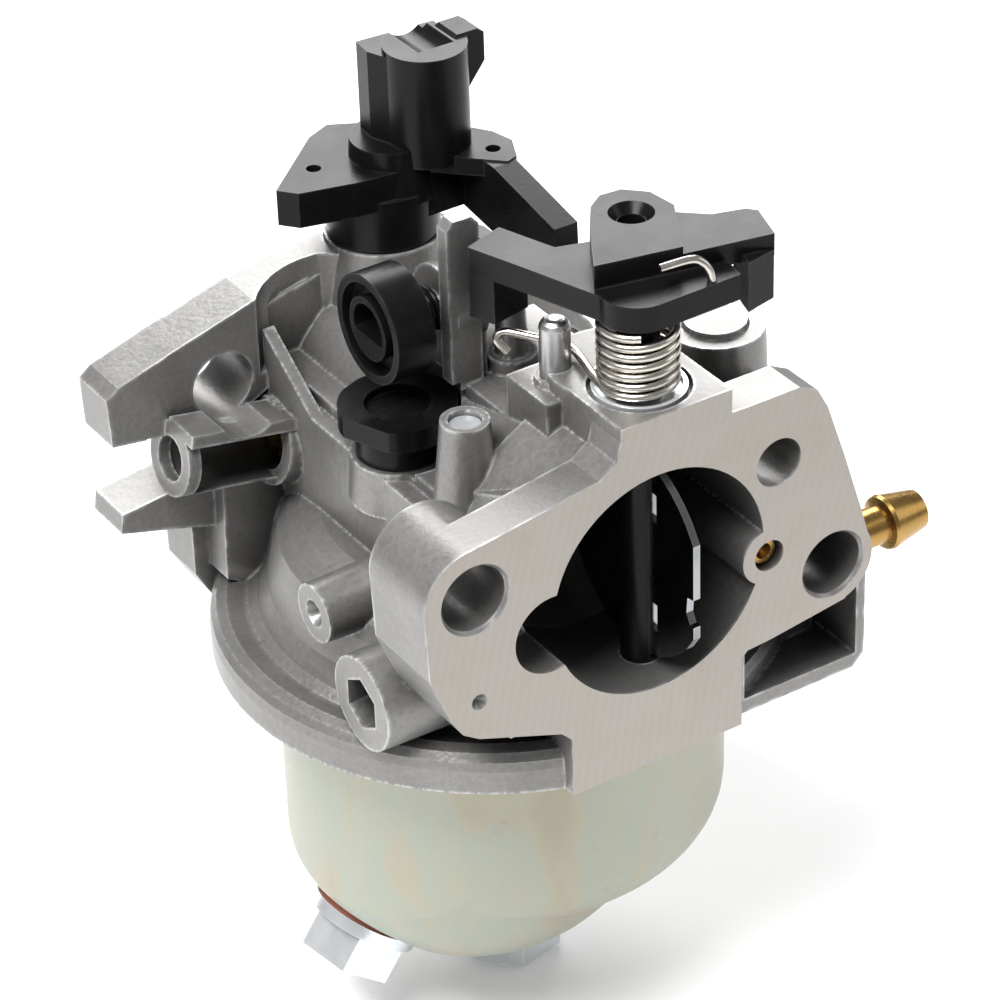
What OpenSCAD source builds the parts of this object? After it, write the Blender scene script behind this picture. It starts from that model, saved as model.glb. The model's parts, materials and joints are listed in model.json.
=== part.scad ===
// Small-engine float carburetor with vertical choke and throttle shafts.
// Origin: centre of the bore on the air-cleaner flange face.
// +X is the fuel inlet side, +Y runs through the bore towards the engine, +Z is up.

/* [Bore] */
// Distance between the air-cleaner face and the engine face
body_len = 56; // [55:0.5:57]
// Radius of the choke bore at the air-cleaner face
choke_bore_r = 12.5; // [12.3:0.1:12.6]
// Radius of the venturi throat
throat_r = 7.5; // [7:0.1:8]
// Radius of the throttle bore at the engine face
throttle_bore_r = 9; // [8.8:0.1:9.2]

/* [Studs] */
// Distance between the two mounting studs
stud_gap = 44.3; // [44:0.1:44.6]
// Tilt of the line through the studs, from horizontal
stud_tilt = 16.6; // [16:0.1:17.2]
// Radius of each stud hole
stud_r = 3.55; // [3.4:0.05:3.6]

/* [Shafts] */
// Choke shaft place across the bore
choke_x = 1.8; // [1.6:0.1:2]
// Choke shaft distance behind the air-cleaner face
choke_y = 6; // [5.9:0.1:6.2]
// Throttle shaft distance behind the air-cleaner face
throttle_y = 50; // [49.8:0.1:50.2]
// Radius of the choke shaft
choke_shaft_r = 2.15; // [2.1:0.05:2.2]
// Radius of the throttle shaft
throttle_shaft_r = 2.5; // [2.4:0.05:2.6]
// Radial gap between a turning shaft and its bore
running_gap = 0.05; // [0.03:0.01:0.08]

/* [Bowl] */
// Distance of the bowl axis behind the air-cleaner face
bowl_y = 30; // [29.8:0.1:30.2]
// Radius of the cast bowl ring
ring_r = 30.5; // [30.3:0.1:30.7]
// Height of the underside of the ring
ring_z = -21.5; // [-21.7:0.1:-21.3]
// Outer radius of the pressed bowl
bowl_r = 23.8; // [23.6:0.1:24]
// Height of the bolt seat under the bowl
bowl_floor_z = -57; // [-57.2:0.1:-56.8]
// Thickness of the bowl sheet
bowl_t = 1; // [0.8:0.1:1.1]

/* [Screws] */
// Height of the idle speed screw
idle_z = 19.8; // [19.6:0.1:20]
// Distance of the idle speed screw behind the air-cleaner face
idle_y = 29; // [28.8:0.1:29.2]
// Wrench size of both hexagon bolts
hex_af = 10; // [9.8:0.1:10.2]

/* [Hidden] */
$fn = 64;
eps = 0.01;

stud_x = stud_gap / 2 * cos(stud_tilt);
stud_z = stud_gap / 2 * sin(stud_tilt);
ear_t = 10;
rear_y = 48;
post_r = 5.2;
belly_z = -49.5;
post_z = bowl_floor_z + bowl_t + 0.1;
gasket_z = ring_z + 2;
needle_x = 12.5;
needle_y = 19;
needle_seat_z = -11;
float_pin_y = 13;
float_pin_z = -25;
inlet_y = 12;
inlet_z = -13.8;
pilot_axis = [-16, 46.5, -1.4];
pilot_lift = 10;
jet_plug_x = -12;
jet_plug_y = 28.5;
jet_boss_z = 5.2;
drain_tilt = 54.4;
choke_lever_z = 27;
throttle_collar_z = 17.2;
pin_x = -2.7;
pin_y = 13.7;
wire_r = 0.45;

cast_grey = [0.66, 0.66, 0.67];
black = [0.09, 0.09, 0.09];
brass = [0.8, 0.62, 0.28];
zinc = [0.78, 0.8, 0.82];
steel = [0.55, 0.55, 0.56];
spring_steel = [0.68, 0.65, 0.58];
olive_zinc = [0.72, 0.71, 0.6];

// ---------- helpers ----------

// Extrudes an X-Z outline from y0 to y1.
module along_y(y0, y1) {
    translate([0, y1, 0])
        rotate([90, 0, 0])
            linear_extrude(y1 - y0)
                children();
}

// Extrudes a Y-Z outline from x0 to x1.
module along_x(x0, x1) {
    translate([x0, 0, 0])
        rotate([90, 0, 90])
            linear_extrude(x1 - x0)
                children();
}

// A round bar along X.
module bar_x(x0, x1, y, z, r0, r1) {
    translate([x0, y, z])
        rotate([0, 90, 0])
            cylinder(h = x1 - x0, r1 = r0, r2 = r1);
}

// A round bar along Y.
module bar_y(y0, y1, x, z, r0, r1) {
    translate([x, y0, z])
        rotate([-90, 0, 0])
            cylinder(h = y1 - y0, r1 = r0, r2 = r1);
}

// A round bar along Z.
module bar_z(z0, z1, x, y, r0, r1) {
    translate([x, y, z0])
        cylinder(h = z1 - z0, r1 = r0, r2 = r1);
}

// A box from its low corner to its high corner.
module box(low, high) {
    translate(low)
        cube(high - low);
}

// A hexagonal bar along Z with flats "af" apart.
module hex_z(z0, z1, af) {
    translate([0, 0, z0])
        cylinder(h = z1 - z0, r = af / sqrt(3), $fn = 6);
}

// Moves children to the drain bolt: local +Z points out of the bowl.
module at_drain() {
    translate([-17.4, bowl_y, -51.9])
        rotate([0, -90 - drain_tilt, 0])
            children();
}

// Moves children to the pilot screw axis: local +Z points out of the casting.
module at_pilot() {
    translate(pilot_axis)
        rotate([0, -90 + pilot_lift, 0])
            children();
}

// ---------- casting ----------

// Outline of the air-cleaner flange, seen from the front.
module flange_outline() {
    polygon([
                [-10.7, ring_z], [-10.7, -14.6], [-11.9, -13.4], [-21.4, -9.9],
                [-23.2, -8.7], [-24.4, -6.8], [-26.6, -1.2], [-26.9, stud_z], [-22.8, 11.8],
                [-11.5, 13.5], [-6.9, 14.2], [-4.9, 15.6], [-4.3, 17.6], [-4.3, 19],
                [8.6, 19], [8.6, 16.3], [16.7, 16.3], [18.9, 15.2], [20.2, 12.8],
                [22.4, 6.3], [24.7, -1.1], [26, -5.7], [22.8, -11.1],
                [13.4, -12.4], [10.6, -12.6], [9.9, -13.3], [9.9, ring_z]
    ]);
    translate([-stud_x, stud_z])
        circle(r = 5.7);
    translate([stud_x, -stud_z])
        circle(r = 4.9);
}

// Flange plate with thicker ears around the stud holes.
module air_flange() {
    along_y(0, 5)
        flange_outline();
    along_y(0, ear_t)
        intersection() {
            flange_outline();
            union() {
                translate([-27, -16])
                    square([12, 24]);
                translate([-stud_x, stud_z])
                    circle(r = 5.7);
                translate([14, -13])
                    square([13, 20]);
            }
        }
}

// Block around the upper end of the choke shaft.
module choke_block() {
    box([-4.3, 0, 10], [8.6, 12, 19]);
    box([8.6, 0, 8], [16.7, 5, 16.3]);
    bar_z(8, 19, choke_x + 0.3, 11, 6.6, 6.6);
}

// Barrel around the bore with the flat-sided upper wall and its deck.
module barrel() {
    bar_y(0, 14, 0, 0, 15.2, 15.2);
    bar_y(12, 24, 0, 0, 15.2, 12.5);
    bar_y(22, body_len - 4, 0, 0, 12.5, 12.5);
    box([-16, 3, -14], [0, rear_y + 2, 4.6]);
    box([-14, 9, 0], [0, rear_y + 2, 6]);
    box([0, 3, -14], [16, rear_y + 2, 2]);
    // sloped web between the ledge and the choke block
    along_x(-13, -4)
        polygon([[4, 0], [4, 12.5], [14, 8], [20, 5.5], [20, 0]]);
}

// Domed side wall around the pilot passage.
module side_hump() {
    intersection() {
        translate([0, bowl_y, 0])
            rotate_extrude($fn = 160)
                polygon([
                    [0, -5.9], [18.2, -5.9], [20.2, -6.3], [21.7, -7.2], [22.8, -8.6],
                    [23.4, -10.4], [24.2, -14], [25.4, -16.2], [27, -17.4], [0, -17.4]
                ]);
        box([-40, 12, -20], [-8, 47, 0]);
    }
}

// Cast ring that closes the bowl, cut off flush with both faces.
module bowl_ring() {
    intersection() {
        translate([0, bowl_y, 0])
            rotate_extrude($fn = 160)
                polygon([
                    [0, -12.5], [21, -12.5], [22.6, -13.4], [24.4, -16], [25.6, -16.9],
                    [26.8, -17], [28.6, -16.6], [29.7, -17], [30.3, -17.8],
                    [ring_r, -18.8], [ring_r, ring_z], [0, ring_z]
                ]);
        box([-40, 0, -40], [40, 80, 0]);
    }
}

// Open box of ribs under the right stud.
module corner_pocket() {
    difference() {
        box([9, 0.8, ring_z + 0.6], [26, 14, -9]);
        box([10.8, 0, -19.2], [24.9, 8.5, -8]);
        translate([26, 0.8, ring_z + 0.6])
            rotate([0, 45, 0])
                cube([2, 40, 2], center = true);
    }
}

// Engine flange with its two forked arms on the left.
module engine_flange() {
    along_y(rear_y + 2, body_len) {
        polygon([
            [-25.2, -11], [-25.2, -17], [-23.2, -20.6], [20, -20.6], [24, -16],
            [26, -10], [26.4, -6], [22, 3], [16, 9], [8, 14], [-8, 14],
            [-20, 11], [-25.5, 8], [-26.5, 4], [-25, -2]
        ]);
        translate([-stud_x, stud_z])
            circle(r = 5.2);
        translate([stud_x, -stud_z])
            circle(r = 5.2);
    }
    // upper arm, hollowed beside the throttle tower
    difference() {
        along_y(rear_y, 54)
            polygon([
                [-34.4, 3.4], [-34.6, 9], [-33.2, 10], [-26.5, 12.1], [-17, 14.8],
                [-8, 16.4], [4, 16], [4, 4], [-16, 4], [-21, 1.4], [-25.6, 2.2]
            ]);
        bar_z(6, 20, -11.2, 43.8, 7, 7);
    }
    // lower arm
    along_y(rear_y, 54)
        polygon([
            [-34.3, -7.2], [-34, -5], [-27.3, -4.2], [-20, -2.6], [-20, -12],
            [-22.6, -10.6], [-26.5, -9.4]
        ]);
    // web under the arms down to the ring
    along_y(46, 54)
        polygon([[-23.2, -3.4], [-23.5, -16], [-20, -18], [-10, -18], [-10, 4], [-20, 2]]);
}

// Tower that carries the throttle shaft, with the fin rib beside it.
module throttle_tower() {
    bar_z(0, 17, 0, throttle_y, 8.4, 6.3);
    bar_z(-13.5, 0, 0, throttle_y, 8, 8.4);
    along_x(-16, -14.6)
        polygon([[38.9, 4.4], [48.5, 10.8], [48.5, 4.4]]);
}

// Ear and trough around the mixture screw, open towards the front.
module pilot_boss() {
    at_pilot() {
        translate([0, 0, -8])
            cylinder(h = 9.4, r = 4.8);
        difference() {
            translate([0, 0, -2])
                cylinder(h = 15, r = 4.1);
            translate([-3, -8, 1.4])
                cube([6, 7.4, 10.2]);
        }
        translate([3, -4.1, -2])
            cube([1.4, 5, 15]);
    }
}

// Small cast bosses standing on or beside the body.
module small_bosses() {
    // hexagon socket boss and drilled boss on the left side
    bar_x(-26.5, -8, 13.7, -11.7, 5.1, 5.4);
    bar_x(-25.3, -10, 24.4, -7.4, 3.2, 3.7);
    // tapered boss with a plug
    bar_z(3, 15, -11.9, 15.9, 3.7, 2.5);
    // seat of the pilot jet
    bar_z(0, jet_boss_z, jet_plug_x, jet_plug_y, 5.4, 5.1);
    // block and foot of the spring pin
    box([-6.2, 10, 3], [-0.6, 17.2, 17.4]);
    bar_z(17, 18, pin_x, pin_y, 2.3, 2.1);
    // plain post behind the block
    bar_z(3, 23.5, -0.2, 25.5, 2.2, 1.35);
    // raised casting between the block and the idle screw wall
    box([-6.2, 16, 2], [8, 34, 12.5]);
    bar_z(8, 14, -0.2, 25.5, 3.1, 2.6);
    // wall and tab for the idle speed screw
    box([-6.8, idle_y - 3.6, 3], [-3.2, 36, 18]);
    bar_x(-6.8, -3.2, idle_y, idle_z, 4.4, 4.4);
    along_y(idle_y - 4.3, idle_y - 2.5)
        polygon([
            [-7.8, 12], [-7.8, 30.3], [-7, 31.2], [-4.9, 31.2], [-4.1, 30.3], [-4.1, 12]
        ]);
    // vent boss with a raised ring, and the inlet boss
    bar_z(-13, 13.2, 20.2, 19, 6.2, 5.2);
    bar_z(13, 13.8, 20.2, 19, 3.6, 3.3);
    box([6, 12, -13], [22, 26, 9]);
    bar_z(-13, 9.5, 25.4, 24, 3.1, 2.4);
    bar_x(14, 27.5, inlet_y, inlet_z, 5.2, 4.6);
    box([15, inlet_y - 5, -20], [24, 30, inlet_z]);
}

// Column in the bowl that holds the jets and the bowl bolt.
module jet_column() {
    bar_z(post_z, -8, 0, bowl_y, post_r, post_r + 0.8);
}

// Two lugs that carry the float pin.
module float_lugs() {
    for (x = [-8.5, 5.5])
        difference() {
            box([x, float_pin_y - 2.4, float_pin_z - 2.2], [x + 3, float_pin_y + 2.4, -13]);
            bar_x(x - 1, x + 4, float_pin_y, float_pin_z, 0.8, 0.8);
        }
}

// Everything drilled, milled or cast out of the body.
module body_holes() {
    // space behind the engine face
    box([-60, body_len, -60], [60, body_len + 20, 60]);
    // choke bore, venturi and throttle bore
    difference() {
        bar_y(-1, 14, 0, 0, choke_bore_r, choke_bore_r);
        bar_y(-2, 15, 13.2, -2.1, 3.2, 3.2);
    }
    bar_y(14 - eps, 25, 0, 0, choke_bore_r, throat_r);
    bar_y(25 - eps, 32, 0, 0, throat_r, throat_r);
    bar_y(32 - eps, 42, 0, 0, throat_r, throttle_bore_r);
    bar_y(42 - eps, body_len + 1, 0, 0, throttle_bore_r, throttle_bore_r);
    // side pocket at the left of the bore
    bar_y(-1, 7, -12.6, -1.1, 4.35, 4.35);
    // vent hole and air jet hole in the face
    bar_y(-1, 16, 14.25, 8.5, 2.7, 2.7);
    bar_y(-1, 3.2, 13.2, -2.1, 1.75, 1.75);
    bar_y(3, 13, 13.2, -2.1, 1.4, 1.4);
    // stud holes
    for (side = [-1, 1]) {
        bar_y(-1, body_len + 1, side * stud_x, -side * stud_z, stud_r, stud_r);
        bar_y(-eps, 0.4, side * stud_x, -side * stud_z, stud_r + 0.35, stud_r);
    }
    // drilled dimples
    bar_y(-eps, 0.8, -stud_x, -5.55, 0.9, 0.1);
    bar_x(-25.4, -22.8, 24.4, -7.4, 1.5, 0.1);
    bar_z(10.2, 12.6, -11.9, 5.2, 0.1, 1.7);
    // hexagon socket
    translate([-26.6, 13.7, -11.7])
        rotate([0, 90, 0])
            cylinder(h = 5, r = 2.9, $fn = 6);
    // choke shaft bore and washer recess
    bar_z(-13.6, 20, choke_x, choke_y, choke_shaft_r + running_gap, choke_shaft_r + running_gap);
    bar_z(18, 20, choke_x + 0.1, choke_y, 5.2, 5.2);
    // throttle shaft bore and seal recess
    bar_z(-12.6, 20, 0, throttle_y, throttle_shaft_r + running_gap,
        throttle_shaft_r + running_gap);
    bar_z(14.8, 17.1, 0, throttle_y, 4.4, 4.4);
    // bowl rim groove and fuel chamber
    difference() {
        bar_z(ring_z - 1, gasket_z + 1.5, 0, bowl_y, 25.4, 25.4);
        bar_z(ring_z - 2, gasket_z + 2, 0, bowl_y, 22.2, 22.2);
    }
    difference() {
        bar_z(ring_z - 1, -14.6, 0, bowl_y, 20.6, 20.2);
        bar_z(-50, 0, 0, bowl_y, post_r, post_r + 0.6);
        bar_z(-20.5, 0, needle_x, needle_y, 4.4, 4.4);
        float_lugs();
    }
    // emulsion tube bore, main jet bore and bolt thread
    bar_z(post_z - 1, post_z + 6, 0, bowl_y, 3, 3);
    bar_z(post_z + 6 - eps, post_z + 11, 0, bowl_y, 2.5, 2.5);
    bar_z(post_z + 11 - eps, 0, 0, bowl_y, 2, 2);
    // needle seat bore
    bar_z(ring_z - 1, needle_seat_z, needle_x, needle_y, 2.6, 2.6);
    bar_y(inlet_y, needle_y, needle_x + 1, -12.4, 1, 1);
    // fuel passage from the inlet
    bar_x(12, 28, inlet_y, inlet_z, 2.45, 2.45);
    // pilot jet bore and the round seat around it
    bar_z(jet_boss_z, 13, jet_plug_x, jet_plug_y, 6.4, 6.4);
    bar_z(-10, jet_boss_z + 1, jet_plug_x, jet_plug_y, 2.6, 2.6);
    bar_z(2, jet_boss_z + 1, jet_plug_x, jet_plug_y, 3.7, 3.7);
    // spring pin hole and plug hole
    bar_z(12, 19, pin_x, pin_y, 1.6, 1.6);
    bar_z(13.4, 16, -11.9, 15.9, 1.7, 1.7);
    // idle screw hole
    bar_x(-9, -2, idle_y, idle_z, 1.55, 1.55);
    // pilot screw bores
    at_pilot() {
        translate([0, 0, -3.5])
            cylinder(h = 15.1, r = 3.1);
        translate([0, 0, 11])
            cylinder(h = 4, r = 2.4);
        translate([0, 0, -6.7])
            cylinder(h = 4, r = 1.6);
        translate([0, 0, -10])
            cylinder(h = 4, r = 0.5);
    }
}

module main_body() {
    color(cast_grey)
        difference() {
            union() {
                air_flange();
                choke_block();
                barrel();
                side_hump();
                bowl_ring();
                corner_pocket();
                engine_flange();
                throttle_tower();
                pilot_boss();
                small_bosses();
                jet_column();
                float_lugs();
            }
            body_holes();
        }
}

// ---------- bowl and jets ----------

// Half profile of the pressed bowl, with the corner as an ellipse.
module bowl_profile(inset) {
    corner_r = 14.4;
    corner_h = 9.4;
    flat_r = bowl_r - corner_r;
    corner_z = belly_z + corner_h;
    polygon(concat(
        [[0, ring_z - eps], [0, belly_z + inset]],
        [for (a = [-90:7.5:0])
            [flat_r + (corner_r - inset) * cos(a), corner_z + (corner_h - inset) * sin(a)]],
        [[bowl_r - inset, ring_z - eps]]
    ));
}

// Bowl with its rounded sump, as a solid that is "inset" inside the outer skin.
module bowl_shape(inset) {
    translate([0, bowl_y, 0])
        rotate_extrude($fn = 120)
            bowl_profile(inset);
    difference() {
        intersection() {
            translate([-4.3, bowl_y, -38])
                sphere(r = 21.3 - inset, $fn = 120);
            bar_z(bowl_floor_z + inset, -36, 0, bowl_y, bowl_r - inset, bowl_r - inset);
        }
        at_drain()
            translate([0, 0, -inset])
                cylinder(h = 12, r = 16);
    }
}

module float_bowl() {
    color(olive_zinc)
        difference() {
            union() {
                bowl_shape(0);
                bar_z(ring_z - 0.02, gasket_z, 0, bowl_y, 25.1, 25.1);
            }
            bowl_shape(bowl_t);
            bar_z(ring_z - 1, gasket_z + 1, 0, bowl_y, 22.8, 22.8);
            bar_z(-70, -50, 0, bowl_y, 3.15, 3.15);
            at_drain()
                translate([0, 0, -3])
                    cylinder(h = 5, r = 3.05);
        }
}

module bowl_gasket() {
    color([0.12, 0.11, 0.1])
        difference() {
            bar_z(gasket_z, gasket_z + 1.5, 0, bowl_y, 25.2, 25.2);
            bar_z(gasket_z - 1, gasket_z + 2, 0, bowl_y, 22.6, 22.6);
        }
}

module bowl_bolt() {
    color(zinc)
        translate([0, bowl_y, bowl_floor_z - 1]) {
            translate([0, 0, -1.2])
                cylinder(h = 1.2, r = 6.2);
            rotate([0, 0, 12])
                hex_z(-6.7, -1, hex_af);
            cylinder(h = 7.5, r = 2.95);
        }
}

module bowl_bolt_washer() {
    color([0.42, 0.2, 0.14])
        translate([0, bowl_y, bowl_floor_z - 1])
            difference() {
                cylinder(h = 1, r = 5.9);
                translate([0, 0, -1])
                    cylinder(h = 3, r = 3.05);
            }
}

module drain_bolt() {
    color(zinc)
        at_drain() {
            translate([0, 0, 1])
                cylinder(h = 1.4, r = 6.2);
            rotate([0, 0, 8])
                hex_z(2, 6.6, hex_af);
            translate([0, 0, -2.6])
                cylinder(h = 5, r = 2.95);
        }
}

module drain_washer() {
    color([0.42, 0.2, 0.14])
        at_drain()
            difference() {
                cylinder(h = 1, r = 5.9);
                translate([0, 0, -1])
                    cylinder(h = 3, r = 3.05);
            }
}

module fuel_inlet() {
    color(brass)
        translate([0, inlet_y, inlet_z])
            rotate([0, 90, 0])
                rotate_extrude()
                    polygon([
                        [1.1, 18], [2.4, 18], [2.4, 27.5], [2.15, 27.8], [2.15, 36.5],
                        [2.9, 36.7], [3.05, 37.1], [2.2, 41.4], [1.7, 41.6], [1.1, 41.6]
                    ]);
}

module needle_seat() {
    color(brass)
        translate([needle_x, needle_y, 0])
            rotate_extrude()
                polygon([
                    [1.6, -20.5], [2.55, -20.5], [2.55, -13.6], [0.7, -13.6],
                    [0.7, -14.6], [1.6, -15.6]
                ]);
}

module float_pin() {
    color(steel)
        bar_x(-9.2, 9.2, float_pin_y, float_pin_z, 0.78, 0.78);
}

module main_jet() {
    color(brass)
        difference() {
            bar_z(post_z + 6.2, post_z + 10.8, 0, bowl_y, 2.45, 2.45);
            bar_z(post_z, post_z + 12, 0, bowl_y, 0.4, 0.4);
            box([-3, bowl_y - 0.4, post_z + 6], [3, bowl_y + 0.4, post_z + 7]);
        }
}

module emulsion_tube() {
    color(brass)
        difference() {
            bar_z(post_z + 11.1, -6, 0, bowl_y, 1.95, 1.95);
            bar_z(post_z, 0, 0, bowl_y, 1.1, 1.1);
            for (z = [post_z + 14:4:-14])
                bar_x(-3, 3, bowl_y, z, 0.4, 0.4);
        }
}

module pilot_jet() {
    color(black)
        translate([jet_plug_x, jet_plug_y, 0]) {
            difference() {
                translate([0, 0, jet_boss_z + 3.2])
                    rotate([0, 0, 22])
                        intersection() {
                            cylinder(h = 2.3, r = 6.1);
                            cube([10.8, 12, 12], center = true);
                        }
                translate([0, 0, jet_boss_z + 4.6])
                    cylinder(h = 2, r = 3.4);
            }
            translate([0, 0, jet_boss_z])
                cylinder(h = 3.3, r = 4.5);
            translate([0, 0, 2.2])
                cylinder(h = 4, r = 3.6);
            translate([0, 0, -9])
                cylinder(h = 12, r = 2.2);
        }
}

module air_jet() {
    color(brass)
        difference() {
            bar_y(1, 9, 13.2, -2.1, 1.38, 1.38);
            bar_y(0, 10, 13.2, -2.1, 0.45, 0.45);
            bar_y(0.9, 1.9, 13.2, -2.1, 0.95, 0.45);
        }
}

module choke_washer() {
    color(zinc)
        translate([choke_x + 0.1, choke_y, 0])
            rotate_extrude()
                polygon([
                    [2.5, 18.05], [4.73, 18.05], [4.73, 19.1], [4.3, 19.1],
                    [4.1, 18.6], [2.5, 18.6]
                ]);
}

module spring_pin() {
    color(steel)
        translate([pin_x, pin_y, 0])
            rotate_extrude()
                polygon(concat(
                    [[0, 12.5], [1.58, 12.5], [1.58, 23.3]],
                    [for (a = [15:25:90]) [0.58 + cos(a), 23.3 + sin(a)]],
                    [[0, 24.3]]
                ));
}

module passage_plug() {
    color(zinc)
        bar_z(13.5, 14.4, -11.9, 15.9, 1.65, 1.65);
}

module throttle_seal() {
    color([0.2, 0.19, 0.17])
        difference() {
            bar_z(14.85, 17, 0, throttle_y, 4.35, 4.35);
            bar_z(14, 18, 0, throttle_y, throttle_shaft_r + 0.1, throttle_shaft_r + 0.1);
        }
}

module mixture_screw() {
    color(brass)
        at_pilot()
            difference() {
                union() {
                    translate([0, 0, -6.6])
                        cylinder(h = 1.2, r1 = 0.3, r2 = 1.52);
                    translate([0, 0, -5.4])
                        cylinder(h = 4.2, r = 1.52);
                    translate([0, 0, -1.3])
                        cylinder(h = 1.2, r = 2.6);
                }
                translate([-3, -0.4, -0.7])
                    cube([6, 0.8, 1]);
            }
}

// Points along a helix about local Z.
function helix(r, z0, z1, turns, start = 0) =
    let (steps = ceil(turns * 14))
    [for (i = [0:steps])
        let (a = start + 360 * turns * i / steps)
        [r * cos(a), r * sin(a), z0 + (z1 - z0) * i / steps]];

function unit(v) = v / norm(v);

// Round wire swept along a path that never runs straight up.
module wire(path, r, sides = 6) {
    last = len(path) - 1;
    rings = [for (i = [0:last])
        let (
            along = unit(path[min(i + 1, last)] - path[max(i - 1, 0)]),
            side = unit(cross(along, [0, 0, 1])),
            up = cross(side, along)
        )
        for (j = [0:sides - 1])
            path[i] + r * (cos(360 * j / sides) * side + sin(360 * j / sides) * up)];
    walls = [for (i = [0:last - 1], j = [0:sides - 1])
        let (k = (j + 1) % sides)
        [i * sides + j, i * sides + k, (i + 1) * sides + k, (i + 1) * sides + j]];
    ends = [[for (j = [sides - 1:-1:0]) j], [for (j = [0:sides - 1]) last * sides + j]];
    polyhedron(points = rings, faces = concat(walls, ends));
}

module mixture_spring() {
    color(spring_steel)
        at_pilot()
            wire(helix(2.1, -3.2, -1.6, 2), 0.24);
}

// ---------- choke ----------

module choke_lever() {
    z0 = choke_lever_z;
    z1 = z0 + 2.8;
    z2 = z1 + 2.6;
    color(black)
        difference() {
            union() {
                // lower plate, rounded about the shaft
                translate([0, 0, z0])
                    linear_extrude(z1 - z0) {
                        translate([choke_x, choke_y])
                            circle(r = 3.9);
                        polygon([
                            [-7.1, 22], [-4.6, 14.6], [-2.1, 7], [choke_x, 2.1], [11.2, 2.3],
                            [11.6, 4.6], [8, 12], [3, 16], [-0.3, 17], [-2.5, 23.5]
                        ]);
                    }
                // raised plate with the link hole
                translate([0, 0, z1 - 1])
                    linear_extrude(z2 - z1 + 1)
                        polygon([
                            [-1.8, 8], [7.2, 6.1], [11.2, 13.3], [10.8, 16.8],
                            [8.8, 18.9], [6.4, 19.1], [4.4, 17.7], [1.9, 14.2]
                        ]);
                // wing
                translate([0, 0, z1 - 0.6])
                    linear_extrude(2.4)
                        polygon([
                            [7.2, 6.1], [16.6, 4.2], [18, 8.8], [17.2, 9.8], [13.9, 10.8],
                            [11.2, 13.3], [9, 14]
                        ]);
                // hooks that turn down at both ends
                translate([0, 0, z0 - 5])
                    linear_extrude(6)
                        polygon([[-7.1, 22], [-6, 19.2], [-1.5, 20.2], [-2.5, 23.5]]);
                translate([0, 0, z0 - 2.4])
                    linear_extrude(5.4)
                        polygon([[12.8, 3.2], [16.4, 4], [17.8, 8.4], [14, 7.4]]);
            }
            bar_z(z1 - 2, z2 + 1, 7, 14.5, 1.4, 1.4);
            bar_z(z2 - 1, z2 + 0.1, 7, 14.5, 1.5, 2.4);
            bar_z(z0 - 1, z1 - 0.8, choke_x, choke_y, choke_shaft_r, choke_shaft_r);
        }
}

module choke_shaft() {
    color(black)
        difference() {
            bar_z(-13.3, choke_lever_z + 1.9, choke_x, choke_y, choke_shaft_r, choke_shaft_r);
            box([choke_x - 0.4, choke_y - 4, -12.2], [choke_x + 0.4, choke_y + 4, 12.2]);
        }
}

// Front rim: half height of the plate at distance s in front of the shaft.
function choke_rim(s) = sqrt(12.3 * 12.3 - pow(choke_x + 0.95 * s, 2));

module choke_plate() {
    color([0.3, 0.31, 0.32])
        difference() {
            along_x(choke_x - 0.4, choke_x + 0.4)
                difference() {
                    union() {
                        intersection() {
                            translate([choke_y, 0])
                                circle(r = 12);
                            translate([choke_y, -15])
                                square([20, 30]);
                        }
                        polygon(concat(
                            [for (s = [0:1.2:9.6]) [choke_y - s, choke_rim(s) - 0.2]],
                            [for (s = [9.6:-1.2:0]) [choke_y - s, 0.2 - choke_rim(s)]]
                        ));
                    }
                    // shallow notch in the front edge
                    polygon([[-6, -0.4], [-2.6, -1], [-2.4, -2.9], [-3, -4], [-6, -4.4]]);
                }
            for (z = [-6.5, 6.5])
                along_x(choke_x - 1, choke_x + 1)
                    translate([2.6, z - 1.6])
                        square([0.9, 3.2]);
        }
}

module choke_rivet(z) {
    color(zinc)
        bar_x(choke_x + 0.4, choke_x + 1, 14.2, z, 1, 0.7);
}

module choke_rivet_upper() {
    choke_rivet(6.9);
}

module choke_rivet_lower() {
    choke_rivet(-6.9);
}

// Coil around the shaft, with a leg that bends behind the spring pin.
module choke_spring() {
    leg = [[-4.6, 19.3, 18.4], [-5.3, 20.1, 19.6], [-4.6, 19.9, 20.4], [-2.6, 17.7, 20.2],
        [-0.9, 15.6, 20], [-0.5, 13.6, 19.9], [-1, 11, 19.8], [-1.6, 8.6, 19.7]];
    turns = [for (p = helix(3.7, 19.6, 26.3, 6.2, 168)) p + [choke_x, choke_y, 0]];
    color(spring_steel)
        wire(concat(leg, turns), wire_r);
}

// Upper end of the spring, hooked over the lever.
module choke_spring_hook() {
    color(spring_steel)
        wire([[8.3, 2.9, 29.82], [8.1, 3.1, 30.9], [7.5, 3.4, 31.8], [6.4, 3.8, 32.3],
            [3.3, 4.4, 32.1]], wire_r);
}

// ---------- throttle ----------

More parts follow.
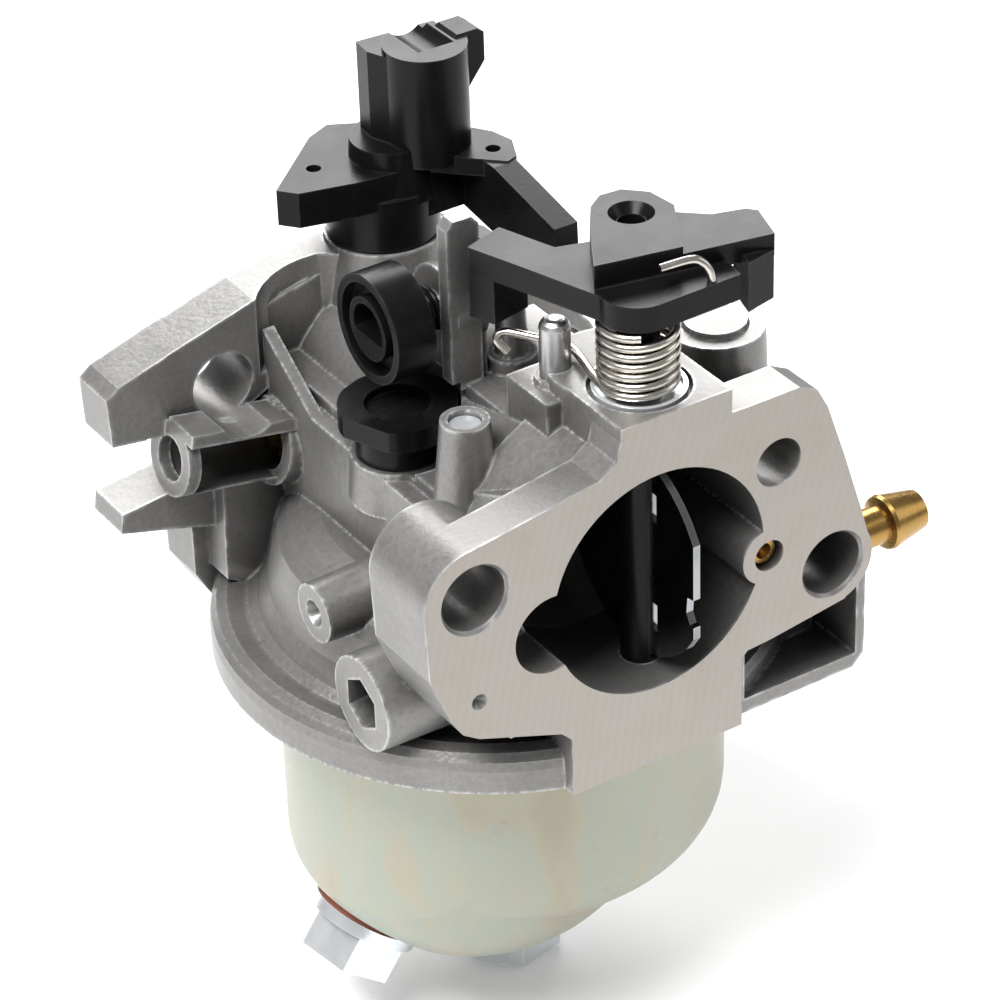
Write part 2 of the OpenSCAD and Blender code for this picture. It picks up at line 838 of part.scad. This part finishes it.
module throttle_lever() {
    z0 = throttle_collar_z;
    color(black)
        difference() {
            union() {
                // collar and hub
                bar_z(z0, 23, 0, throttle_y, 6, 6);
                bar_z(22, 28, 1, 49, 5, 4.5);
                // half-round upper stem with its side block
                bar_z(26, 38.3, 4.1, 47, 4.4, 4.4);
                translate([0, 0, 24])
                    linear_extrude(13.8)
                        polygon([
                            [-1.2, 49.6], [-0.9, 52.2], [8, 51.6], [8, 48], [4, 46], [0.1, 46.2]
                        ]);
                // horn that leans out at the top
                along_y(46, 49.6)
                    polygon([
                        [5, 30.6], [7.6, 31], [10.6, 34.8], [10.6, 38], [9.8, 38.6],
                        [7.4, 38.6], [5.8, 37.6]
                    ]);
                // left arm
                translate([0, 0, 22])
                    linear_extrude(4)
                        polygon([
                            [-13.1, 48.8], [-11.6, 46.9], [-5.7, 45.4], [0, 44.6],
                            [2, 56], [-1.6, 58], [-4.6, 56.6]
                        ]);
                // right arm with the link hole
                translate([0, 0, 25])
                    linear_extrude(2)
                        polygon([
                            [0, 47], [4.4, 42.6], [8.4, 38.6], [9.8, 39.2], [11.2, 42.2],
                            [10.6, 45], [6, 52], [0, 52]
                        ]);
                // stop arm
                along_x(6.6, 9.4)
                    polygon([
                        [46, 20], [46, 26.8], [38.6, 26.8], [27.6, 24.6],
                        [27.4, 18.4], [34, 18.4]
                    ]);
                box([1.5, 44.4, 20], [8, 47, 26.8]);
            }
            // groove behind the rim of the stem
            bar_y(45.4, 60, 4.5, 39.6, 2.5, 2.5);
            // link holes
            bar_z(20, 30, -7.6, 50.6, 0.8, 0.8);
            bar_z(24, 30, 8.6, 41.8, 0.8, 0.8);
            bar_z(z0 - 1, 27, 0, throttle_y, throttle_shaft_r + 0.02, throttle_shaft_r + 0.02);
        }
}

module throttle_shaft() {
    color(steel)
        difference() {
            bar_z(-12.4, 26.8, 0, throttle_y, throttle_shaft_r, throttle_shaft_r);
            box([-4, throttle_y - 4, -8.9], [4, throttle_y - 0.5, 8.9]);
        }
}

module throttle_plate() {
    color(brass)
        difference() {
            bar_y(throttle_y - 1.5, throttle_y - 0.5, 0, 0, throttle_bore_r - 0.25,
                throttle_bore_r - 0.25);
            for (z = [-4.2, 4.2])
                bar_y(throttle_y - 2, throttle_y, 0, z, 1.25, 1.25);
        }
}

module throttle_screw(z) {
    color(zinc)
        difference() {
            union() {
                bar_y(throttle_y - 2.7, throttle_y - 1.5, 0, z, 1.6, 2.1);
                bar_y(throttle_y - 1.6, throttle_y - 0.5, 0, z, 1.2, 1.2);
            }
            box([-3, throttle_y - 3, z - 0.3], [3, throttle_y - 2.2, z + 0.3]);
        }
}

module throttle_screw_upper() {
    throttle_screw(4.2);
}

module throttle_screw_lower() {
    throttle_screw(-4.2);
}

// ---------- idle speed screw ----------

module idle_screw() {
    color(steel)
        union() {
            bar_x(-12.4, 5.6, idle_y, idle_z, 1.5, 1.5);
            bar_x(5.6, 6.5, idle_y, idle_z, 1.5, 0.8);
        }
}

module idle_knob() {
    color(black)
        difference() {
            bar_x(-14.7, -10.3, idle_y, idle_z, 5.8, 5.8);
            // recess between the rim and the middle
            difference() {
                bar_x(-15, -13.4, idle_y, idle_z, 4.9, 4.9);
                bar_x(-16, -13, idle_y, idle_z, 3.4, 3.4);
            }
            // flat-sided hole
            intersection() {
                bar_x(-15, -12.4, idle_y, idle_z, 2.7, 2.7);
                box([-16, idle_y - 4, idle_z - 0.9], [-12, idle_y + 4, idle_z + 4]);
            }
            bar_x(-12.6, -9, idle_y, idle_z, 1.5, 1.5);
        }
}

module idle_spring() {
    color(black)
        translate([-10, idle_y, idle_z])
            rotate([0, 90, 0])
                wire(helix(2.05, 0.45, 2.7, 3), 0.35);
}

// ---------- float ----------

module float_body() {
    color([0.16, 0.15, 0.14])
        difference() {
            bar_z(-40, -31.5, 0, bowl_y, 18.6, 19.6);
            bar_z(-50, -30, 0, bowl_y, 7.6, 7.6);
            box([-7.6, 0, -50], [7.6, bowl_y, -30]);
            box([-30, 0, -50], [30, 19, -30]);
        }
}

module float_arm() {
    color(brass)
        union() {
            difference() {
                bar_x(-5.2, 5.2, float_pin_y, float_pin_z, 1.6, 1.6);
                bar_x(-6, 6, float_pin_y, float_pin_z, 0.83, 0.83);
            }
            box([-5.2, float_pin_y + 1.2, float_pin_z - 0.5], [5.2, 18.4, float_pin_z + 0.5]);
            for (side = [-1, 1])
                box([min(side * 7.7, side * 14.6), 16.4, float_pin_z - 0.5],
                    [max(side * 7.7, side * 14.6), 25, float_pin_z + 0.5]);
            box([-14.6, 16.4, float_pin_z - 0.5], [14.6, 20, float_pin_z + 0.5]);
            for (side = [-1, 1])
                box([side * 11 - 2, 22, -31.5], [side * 11 + 2, 23, float_pin_z + 0.5]);
        }
}

module inlet_needle() {
    color(steel)
        translate([needle_x, needle_y, 0])
            rotate_extrude()
                polygon([
                    [0, -24.4], [0.8, -24.4], [0.8, -22], [1.52, -21.6], [1.52, -16.2],
                    [0.5, -14.9], [0, -14.9]
                ]);
}

main_body();
float_bowl();
bowl_gasket();
bowl_bolt();
bowl_bolt_washer();
drain_bolt();
drain_washer();
fuel_inlet();
needle_seat();
float_pin();
main_jet();
emulsion_tube();
pilot_jet();
air_jet();
choke_washer();
spring_pin();
passage_plug();
throttle_seal();
mixture_screw();
mixture_spring();
choke_lever();
choke_shaft();
choke_plate();
choke_rivet_upper();
choke_rivet_lower();
choke_spring();
choke_spring_hook();
throttle_lever();
throttle_shaft();
throttle_plate();
throttle_screw_upper();
throttle_screw_lower();
idle_screw();
idle_knob();
idle_spring();
float_arm();
float_body();
inlet_needle();
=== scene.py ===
import json
import math

import bpy
from mathutils import Matrix, Vector


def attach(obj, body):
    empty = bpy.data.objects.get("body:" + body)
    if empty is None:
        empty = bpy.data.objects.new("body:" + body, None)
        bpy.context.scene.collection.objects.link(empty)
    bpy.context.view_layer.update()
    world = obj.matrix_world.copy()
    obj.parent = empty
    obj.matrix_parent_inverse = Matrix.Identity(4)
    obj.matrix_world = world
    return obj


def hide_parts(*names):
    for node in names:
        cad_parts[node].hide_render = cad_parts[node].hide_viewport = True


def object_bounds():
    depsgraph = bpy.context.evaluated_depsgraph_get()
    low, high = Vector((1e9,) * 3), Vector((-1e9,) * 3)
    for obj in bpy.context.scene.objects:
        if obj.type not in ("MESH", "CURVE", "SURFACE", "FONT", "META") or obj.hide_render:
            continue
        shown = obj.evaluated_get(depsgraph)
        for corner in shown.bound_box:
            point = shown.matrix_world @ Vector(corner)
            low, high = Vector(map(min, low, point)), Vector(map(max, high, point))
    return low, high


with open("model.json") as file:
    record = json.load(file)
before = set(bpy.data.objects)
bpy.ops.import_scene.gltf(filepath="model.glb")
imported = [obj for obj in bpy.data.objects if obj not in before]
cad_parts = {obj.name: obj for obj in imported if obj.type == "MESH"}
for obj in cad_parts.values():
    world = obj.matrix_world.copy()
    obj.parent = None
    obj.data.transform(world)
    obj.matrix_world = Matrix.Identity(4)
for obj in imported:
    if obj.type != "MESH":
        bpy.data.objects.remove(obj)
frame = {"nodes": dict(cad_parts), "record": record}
cad_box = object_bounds()

NODES = frame["nodes"]
MM = 0.001

# ---------------------------------------------------------------- camera

# The photograph's camera, in degrees and millimetres. Azimuth is measured from -Y.
CAMERA_AZIMUTH = -32.0
CAMERA_ELEVATION = 33.25
CAMERA_ROLL = -1.97
CAMERA_AIM = (-18.13, 0, 16.5)
CAMERA_DISTANCE = 373.57
SENSOR_WIDTH = 36
FOCAL_LENGTH = 144


def unit_axes(azimuth, elevation, roll):
    """Right, up and back axes of a camera that looks at the object."""
    a, e, r = math.radians(azimuth), math.radians(elevation), math.radians(roll)
    back = Vector((math.sin(a) * math.cos(e), -math.cos(a) * math.cos(e), math.sin(e)))
    right = Vector((math.cos(a), math.sin(a), 0))
    up = back.cross(right)
    return (
        right * math.cos(r) + up * math.sin(r),
        up * math.cos(r) - right * math.sin(r),
        back,
    )


def add_camera():
    right, up, back = unit_axes(CAMERA_AZIMUTH, CAMERA_ELEVATION, CAMERA_ROLL)
    place = Vector(CAMERA_AIM) * MM + back * CAMERA_DISTANCE * MM
    data = bpy.data.cameras.new("camera")
    data.sensor_width = SENSOR_WIDTH
    data.lens = FOCAL_LENGTH
    data.clip_start = 0.01
    data.clip_end = 20
    camera = bpy.data.objects.new("camera", data)
    camera.matrix_world = Matrix(
        (
            (right.x, up.x, back.x, place.x),
            (right.y, up.y, back.y, place.y),
            (right.z, up.z, back.z, place.z),
            (0, 0, 0, 1),
        )
    )
    bpy.context.scene.collection.objects.link(camera)
    bpy.context.scene.camera = camera


add_camera()

# ---------------------------------------------------------------- studio

LIGHT_AIM = (0, 28, -12)  # mm, about the middle of the carburetor
FLOOR_HALF = 3.0
FLOOR_DROP = 0.0005
FLOOR_GLOW = 0.14
WORLD_LIGHT = 0.33


def add_light(name, place, size, power):
    """Rectangular light that points at the object. Place and size are in mm."""
    data = bpy.data.lights.new(name, "AREA")
    data.shape = "RECTANGLE"
    data.size = size[0] * MM
    data.size_y = size[1] * MM
    data.energy = power
    light = bpy.data.objects.new(name, data)
    light.location = Vector(place) * MM
    away = light.location - Vector(LIGHT_AIM) * MM
    light.rotation_euler = away.to_track_quat("Z", "Y").to_euler()
    bpy.context.scene.collection.objects.link(light)


def add_floor():
    """White ground just under the lowest point of the object."""
    mesh = bpy.data.meshes.new("floor")
    half = FLOOR_HALF
    z = cad_box[0][2] - FLOOR_DROP
    corners = [(-half, -half, z), (half, -half, z), (half, half, z), (-half, half, z)]
    mesh.from_pydata(corners, [], [(0, 1, 2, 3)])
    floor = bpy.data.objects.new("floor", mesh)
    bpy.context.scene.collection.objects.link(floor)
    material = bpy.data.materials.new("floor")
    material.use_nodes = True
    shader = material.node_tree.nodes["Principled BSDF"]
    shader.inputs["Base Color"].default_value = (0.8, 0.8, 0.8, 1)
    shader.inputs["Roughness"].default_value = 0.9
    shader.inputs["Emission Color"].default_value = (1, 1, 1, 1)
    shader.inputs["Emission Strength"].default_value = FLOOR_GLOW
    mesh.materials.append(material)


def add_world():
    world = bpy.data.worlds.new("world")
    world.use_nodes = True
    background = world.node_tree.nodes["Background"]
    background.inputs["Color"].default_value = (1, 1, 1, 1)
    background.inputs["Strength"].default_value = WORLD_LIGHT
    bpy.context.scene.world = world


add_floor()
add_world()
add_light("key", (-190, -40, 370), (240, 240), 4.0)
add_light("fill_right", (330, -160, 180), (200, 260), 0.24)
add_light("rim", (180, 350, 270), (340, 240), 2.2)

scene = bpy.context.scene
scene.view_settings.view_transform = "Standard"
scene.view_settings.look = "None"

# ---------------------------------------------------------------- materials

RAY_SAMPLES = 6


class Mat:
    """Builds one node material, with lengths in metres."""

    def __init__(self, name):
        self.material = bpy.data.materials.new(name)
        self.material.use_nodes = True
        self.tree = self.material.node_tree
        self.shader = self.tree.nodes["Principled BSDF"]
        self.coord = self.tree.nodes.new("ShaderNodeTexCoord").outputs["Object"]

    def node(self, kind, **values):
        n = self.tree.nodes.new(kind)
        for key, value in values.items():
            setattr(n, key, value)
        return n

    def link(self, a, b):
        self.tree.links.new(a, b)

    def mapped(self, scale):
        m = self.node("ShaderNodeMapping")
        m.inputs["Scale"].default_value = scale
        self.link(self.coord, m.inputs["Vector"])
        return m.outputs[0]

    def noise(self, scale, detail=4, rough=0.55, vector=None, distortion=0.0):
        n = self.node("ShaderNodeTexNoise")
        n.inputs["Scale"].default_value = scale
        n.inputs["Detail"].default_value = detail
        n.inputs["Roughness"].default_value = rough
        n.inputs["Distortion"].default_value = distortion
        self.link(vector or self.coord, n.inputs["Vector"])
        return n.outputs[0]

    def ramp(self, fac, stops):
        """Colour from a list of (position, colour) stops."""
        n = self.node("ShaderNodeValToRGB")
        elements = n.color_ramp.elements
        while len(elements) < len(stops):
            elements.new(0.5)
        for element, (position, color) in zip(elements, stops):
            element.position = position
            element.color = (*color, 1)
        self.link(fac, n.inputs["Fac"])
        return n.outputs["Color"]

    def grey(self, fac, low, high, start, end):
        """A value from low to high as fac goes from start to end."""
        n = self.node("ShaderNodeMapRange")
        n.inputs["From Min"].default_value = start
        n.inputs["From Max"].default_value = end
        n.inputs["To Min"].default_value = low
        n.inputs["To Max"].default_value = high
        self.link(fac, n.inputs["Value"])
        return n.outputs[0]

    def math(self, operation, a, b):
        n = self.node("ShaderNodeMath", operation=operation)
        n.use_clamp = operation == "ADD"
        for socket, value in zip(n.inputs, (a, b)):
            if isinstance(value, (int, float)):
                socket.default_value = value
            else:
                self.link(value, socket)
        return n.outputs[0]

    def mix(self, fac, a, b, blend="MIX"):
        n = self.node("ShaderNodeMix", data_type="RGBA", blend_type=blend)
        if isinstance(fac, (int, float)):
            n.inputs[0].default_value = fac
        else:
            self.link(fac, n.inputs[0])
        for socket, value in ((n.inputs[6], a), (n.inputs[7], b)):
            if isinstance(value, tuple):
                socket.default_value = (*value, 1)
            else:
                self.link(value, socket)
        return n.outputs[2]

    def edge(self, radius):
        """0 on flat areas, towards 1 along edges."""
        b = self.node("ShaderNodeBevel", samples=RAY_SAMPLES)
        b.inputs["Radius"].default_value = radius
        g = self.node("ShaderNodeNewGeometry")
        dot = self.node("ShaderNodeVectorMath", operation="DOT_PRODUCT")
        self.link(b.outputs[0], dot.inputs[0])
        self.link(g.outputs["Normal"], dot.inputs[1])
        return self.grey(dot.outputs["Value"], 1, 0, 0.86, 0.995)

    def painted_hollow_shade(self, distance, most, closed, open_):
        """Mask for painted shade: 0 in the open, towards "most" in corners and deep holes."""
        n = self.node("ShaderNodeAmbientOcclusion", samples=RAY_SAMPLES)
        n.inputs["Distance"].default_value = distance
        return self.grey(n.outputs["AO"], most, 0, closed, open_)

    def bump(self, height, strength, distance, after=None):
        n = self.node("ShaderNodeBump")
        n.inputs["Strength"].default_value = strength
        n.inputs["Distance"].default_value = distance
        self.link(height, n.inputs["Height"])
        if after:
            self.link(after, n.inputs["Normal"])
        return n.outputs[0]

    def done(self, color, rough, normal, metallic=0.0, **sockets):
        """Connects the shader and gives the finished material."""
        s = self.shader
        self.link(color, s.inputs["Base Color"])
        self.link(rough, s.inputs["Roughness"])
        self.link(normal, s.inputs["Normal"])
        s.inputs["Metallic"].default_value = metallic
        for name, value in sockets.items():
            s.inputs[name.replace("_", " ")].default_value = value
        return self.material


def cast_material():
    """Matte die-cast alloy: speckle, cloudy tone, painted shade in corners and deep holes, and
    worn bright edges.
    """
    m = Mat("cast_alloy")
    clouds = m.noise(90, 5, 0.6)
    speck = m.noise(1500, 3, 0.7)
    scratch = m.noise(500, 2, 0.5, m.mapped((1, 6, 1)), 0.4)
    color = m.ramp(
        clouds,
        [
            (0.3, (0.18, 0.176, 0.171)),
            (0.55, (0.2, 0.196, 0.19)),
            (0.75, (0.232, 0.227, 0.22)),
        ],
    )
    dark = m.grey(speck, 0.9, 1.06, 0.35, 0.6)
    color = m.mix(1.0, color, dark, "MULTIPLY")
    # painted shade: two ambient-occlusion masks darken the colour in corners, creases and deep
    # holes, where shade falls
    color = m.mix(m.painted_hollow_shade(0.006, 0.5, 0.15, 0.75), color, (0.07, 0.068, 0.066))
    color = m.mix(m.painted_hollow_shade(0.025, 0.85, 0.08, 0.4), color, (0.035, 0.033, 0.031))
    worn = m.math("MULTIPLY", m.edge(0.0007), m.grey(scratch, 0.1, 1.1, 0.38, 0.62))
    color = m.mix(worn, color, (0.5, 0.495, 0.49))
    rough = m.grey(m.math("ADD", speck, clouds), 0.3, 0.46, 0.6, 1.3)
    normal = m.bump(speck, 0.22, 0.0002)
    normal = m.bump(clouds, 0.16, 0.001, normal)
    return m.done(color, rough, normal, metallic=0.6)


def machined_material():
    """Milled face: pale warm grey with fine curved tool marks."""
    m = Mat("machined_face")
    marks = m.node("ShaderNodeTexWave", wave_type="RINGS", rings_direction="Y")
    marks.inputs["Scale"].default_value = 300
    marks.inputs["Distortion"].default_value = 0.8
    marks.inputs["Detail"].default_value = 3
    marks.inputs["Detail Scale"].default_value = 2
    shift = m.node("ShaderNodeMapping")
    shift.inputs["Location"].default_value = (-0.17, 0, 0.04)
    m.link(m.coord, shift.inputs["Vector"])
    m.link(shift.outputs[0], marks.inputs["Vector"])
    clouds = m.noise(140, 4, 0.6)
    color = m.ramp(
        clouds,
        [
            (0.3, (0.315, 0.286, 0.258)),
            (0.5, (0.345, 0.32, 0.293)),
            (0.7, (0.365, 0.34, 0.316)),
        ],
    )
    line = m.grey(marks.outputs["Fac"], 0.985, 1.01, 0.2, 0.8)
    color = m.mix(1.0, color, line, "MULTIPLY")
    rough = m.grey(clouds, 0.42, 0.56, 0.3, 0.7)
    normal = m.bump(marks.outputs["Fac"], 0.06, 0.00004)
    return m.done(color, rough, normal, metallic=0.7)


def bowl_material():
    """Yellow-olive zinc chromate, blotchy, with a faint green and pink film."""
    m = Mat("olive_zinc")
    wide = m.mapped((1, 1, 0.45))
    blotch = m.noise(62, 4, 0.55, wide, 1.1)
    runs = m.noise(150, 5, 0.6, m.mapped((1, 1, 0.3)), 0.6)
    fine = m.noise(2200, 2, 0.5)
    color = m.ramp(
        blotch,
        [
            (0.3, (0.31, 0.303, 0.235)),
            (0.44, (0.32, 0.322, 0.26)),
            (0.52, (0.3, 0.325, 0.275)),
            (0.6, (0.335, 0.315, 0.245)),
            (0.72, (0.305, 0.29, 0.22)),
        ],
    )
    color = m.mix(m.grey(runs, 0, 0.25, 0.5, 0.75), color, (0.355, 0.33, 0.265))
    stain = m.grey(m.noise(420, 3, 0.6), 0, 0.35, 0.66, 0.74)
    color = m.mix(stain, color, (0.28, 0.25, 0.17))
    rough = m.grey(m.math("ADD", fine, blotch), 0.34, 0.5, 0.7, 1.3)
    normal = m.bump(fine, 0.08, 0.0001)
    return m.done(color, rough, normal, metallic=0.5)


def plastic_material(name, tone=0.003, low=0.24, high=0.34):
    """Black moulded nylon: soft sheen, fine grain and paler scuffed edges."""
    m = Mat(name)
    grain = m.noise(2600, 2, 0.6)
    clouds = m.noise(160, 4, 0.6)
    worn = m.math("MULTIPLY", m.edge(0.0004), m.grey(clouds, 0, 0.9, 0.4, 0.6))
    pale = (tone * 1.8, tone * 1.75, tone * 1.7)
    color = m.mix(m.grey(clouds, 0, 1, 0.3, 0.7), (tone, tone, tone), pale)
    color = m.mix(worn, color, (0.03, 0.03, 0.031))
    rough = m.grey(clouds, low, high, 0.3, 0.7)
    normal = m.bump(grain, 0.12, 0.00008)
    return m.done(color, rough, normal, Specular_IOR_Level=0.14)


def metal_material(name, color, low, high, scale, film=None, metallic=1.0):
    """Plain metal with a mottled tone, brushed roughness and lighter edges."""
    m = Mat(name)
    clouds = m.noise(scale, 4, 0.6)
    fine = m.noise(2400, 2, 0.5)
    dark = tuple(c * 0.8 for c in color)
    tone = m.mix(m.grey(clouds, 0, 1, 0.35, 0.65), dark, color)
    if film:
        tone = m.mix(m.grey(m.noise(scale * 0.5, 3, 0.5), 0, 0.6, 0.45, 0.7), tone, film)
    bright = tuple(min(1, c * 1.25 + 0.05) for c in color)
    tone = m.mix(m.math("MULTIPLY", m.edge(0.0003), 0.7), tone, bright)
    rough = m.grey(m.math("ADD", clouds, fine), low, high, 0.7, 1.3)
    normal = m.bump(fine, 0.05, 0.00008)
    return m.done(tone, rough, normal, metallic=metallic)


def soft_material(name, color, rough_value):
    """Rubber or fibre: matte, with a fine grain."""
    m = Mat(name)
    grain = m.noise(1800, 3, 0.6)
    tone = m.mix(m.grey(grain, 0, 1, 0.3, 0.7), tuple(c * 0.75 for c in color), color)
    rough = m.grey(grain, rough_value - 0.08, rough_value + 0.08, 0.3, 0.7)
    return m.done(tone, rough, m.bump(grain, 0.2, 0.0001))


MATERIALS = {
    "cast_alloy": cast_material(),
    "olive_zinc": bowl_material(),
    "black_plastic": plastic_material("black_plastic"),
    "float_plastic": plastic_material("float_plastic", 0.02, 0.5, 0.65),
    "bright_zinc": metal_material(
        "bright_zinc", (0.78, 0.8, 0.82), 0.14, 0.3, 260, (0.68, 0.76, 0.82), metallic=0.7
    ),
    "brass": metal_material("brass", (0.4, 0.245, 0.075), 0.2, 0.36, 240, (0.32, 0.16, 0.05)),
    "spring_wire": metal_material("spring_wire", (0.6, 0.57, 0.52), 0.18, 0.3, 500),
    "dark_steel": metal_material(
        "dark_steel", (0.26, 0.27, 0.28), 0.1, 0.2, 180, (0.36, 0.37, 0.38)
    ),
    "steel": metal_material("steel", (0.5, 0.5, 0.5), 0.28, 0.42, 300),
    "rubber_seal": soft_material("rubber_seal", (0.03, 0.028, 0.026), 0.7),
    "fibre_washer": soft_material("fibre_washer", (0.26, 0.08, 0.05), 0.75),
}
MACHINED = machined_material()

# Where the two milled faces are along Y, in mm, and how exactly a face has to lie there.
FLANGE_FACE_Y = 0
ENGINE_FACE_Y = 56
FACE_TOLERANCE = 0.05
FACE_NORMAL = 0.99

# Width in mm of the softened edges of each material
EDGE_WIDTHS = {
    "cast_alloy": 0.55,
    "black_plastic": 0.32,
    "olive_zinc": 0.5,
    "bright_zinc": 0.22,
    "brass": 0.12,
    "steel": 0.1,
    "dark_steel": 0.08,
}
SHARP_ANGLE = 32


def node_slots():
    """The material slot of every CAD node."""
    return {s["node"]: s["material_slot"] for s in frame["record"]["subparts"]}


def is_machined(center, normal):
    """True on the milled air-cleaner face and the engine face."""
    y = center.y / MM
    if normal.y < -FACE_NORMAL and y < FLANGE_FACE_Y + FACE_TOLERANCE:
        return True
    return normal.y > FACE_NORMAL and y > ENGINE_FACE_Y - FACE_TOLERANCE


def dress_nodes():
    """Gives every CAD node its material and softened edges."""
    for name, slot in node_slots().items():
        node = NODES[name]
        mesh = node.data
        mesh.materials.clear()
        mesh.materials.append(MATERIALS[slot])
        if name == "main_body":
            mesh.materials.append(MACHINED)
            for face in mesh.polygons:
                face.material_index = 1 if is_machined(face.center, face.normal) else 0
        for face in mesh.polygons:
            face.use_smooth = True
        if slot in EDGE_WIDTHS and "spring" not in name:
            bevel = node.modifiers.new("bevel", "BEVEL")
            bevel.width = EDGE_WIDTHS[slot] * MM
            bevel.segments = 3
            bevel.limit_method = "ANGLE"
            bevel.angle_limit = math.radians(SHARP_ANGLE)
            bevel.use_clamp_overlap = True
            bevel.harden_normals = False
            bevel.miter_outer = "MITER_ARC"


dress_nodes()

# ---------------------------------------------------------------- springs

POINTS_PER_TURN = 28
POINTS_PER_SPAN = 6

# Places and sizes in mm, as in the CAD
CHOKE_AXIS = Vector((1.8, 6, 0))
RETURN_WIRE = 0.45
SPRING_LEG = [
    (-4.6, 19.3, 18.4), (-5.3, 20.1, 19.6), (-4.6, 19.9, 20.4), (-2.6, 17.7, 20.2),
    (-0.9, 15.6, 20), (-0.5, 13.6, 19.9), (-1, 11, 19.8), (-1.6, 8.6, 19.7),
]
HOOK = [
    (8.3, 2.9, 29.82), (8.1, 3.1, 30.9), (7.5, 3.4, 31.8), (6.4, 3.8, 32.3), (3.3, 4.4, 32.1),
]
IDLE_SEAT = (-10, 29, 19.8)
IDLE_WIRE = 0.35
MIXTURE_SEAT = (-16, 46.5, -1.4)
MIXTURE_LIFT = 10  # degrees by which the mixture screw's axis rises from -X
MIXTURE_WIRE = 0.24


def helix(radius, z0, z1, turns, start=0.0):
    """Points along a helix about local Z, in mm. Start is an angle in degrees."""
    steps = math.ceil(turns * POINTS_PER_TURN)
    points = []
    for i in range(steps + 1):
        a = math.radians(start) + 2 * math.pi * turns * i / steps
        z = z0 + (z1 - z0) * i / steps
        points.append(Vector((radius * math.cos(a), radius * math.sin(a), z)))
    return points


def rounded(points):
    """Points along a smooth curve through the given ones."""
    points = [Vector(p) for p in points]
    padded = [2 * points[0] - points[1]] + points + [2 * points[-1] - points[-2]]
    out = []
    for a, b, c, d in zip(padded, padded[1:], padded[2:], padded[3:]):
        for i in range(POINTS_PER_SPAN):
            t = i / POINTS_PER_SPAN
            out.append(
                0.5 * (2 * b + (c - a) * t + (2 * a - 5 * b + 4 * c - d) * t * t
                       + (3 * b - a - 3 * c + d) * t * t * t)
            )
    return out + [points[-1]]


def wire_piece(name, points, radius, body, node, slot):
    """Round wire that stands for a faceted CAD wire."""
    curve = bpy.data.curves.new(name, "CURVE")
    curve.dimensions = "3D"
    curve.bevel_depth = radius * MM
    curve.bevel_resolution = 3
    curve.use_fill_caps = True
    spline = curve.splines.new("POLY")
    spline.points.add(len(points) - 1)
    for target, point in zip(spline.points, points):
        target.co = (*(point * MM), 1)
    curve.materials.append(MATERIALS[slot])
    piece = bpy.data.objects.new(name, curve)
    bpy.context.scene.collection.objects.link(piece)
    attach(piece, body)
    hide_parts(node)


def idle_point(p):
    """A point of a helix about Z, turned to the idle screw's axis along X."""
    x, y, z = IDLE_SEAT
    return Vector((x + p.z, y + p.y, z - p.x))


def mixture_point(p):
    """A point of a helix about Z, turned to the tilted axis of the mixture screw."""
    x, y, z = MIXTURE_SEAT
    lift = math.radians(-90 + MIXTURE_LIFT)
    return Vector((
        x + p.x * math.cos(lift) + p.z * math.sin(lift),
        y + p.y,
        z - p.x * math.sin(lift) + p.z * math.cos(lift),
    ))


def add_springs():
    coil = [p + CHOKE_AXIS for p in helix(3.7, 19.6, 26.3, 6.2, 168)]
    wire_piece("return_spring", rounded(SPRING_LEG)[:-1] + coil, RETURN_WIRE, "carburetor_body",
               "choke_spring", "spring_wire")
    wire_piece("return_spring_hook", rounded(HOOK), RETURN_WIRE, "choke",
               "choke_spring_hook", "spring_wire")
    idle = [idle_point(p) for p in helix(2.05, 0.45, 2.7, 3)]
    wire_piece("friction_spring", idle, IDLE_WIRE, "carburetor_body",
               "idle_spring", "black_plastic")
    mixture = [mixture_point(p) for p in helix(2.1, -3.2, -1.6, 2)]
    wire_piece("screw_spring", mixture, MIXTURE_WIRE, "carburetor_body",
               "mixture_spring", "spring_wire")


add_springs()
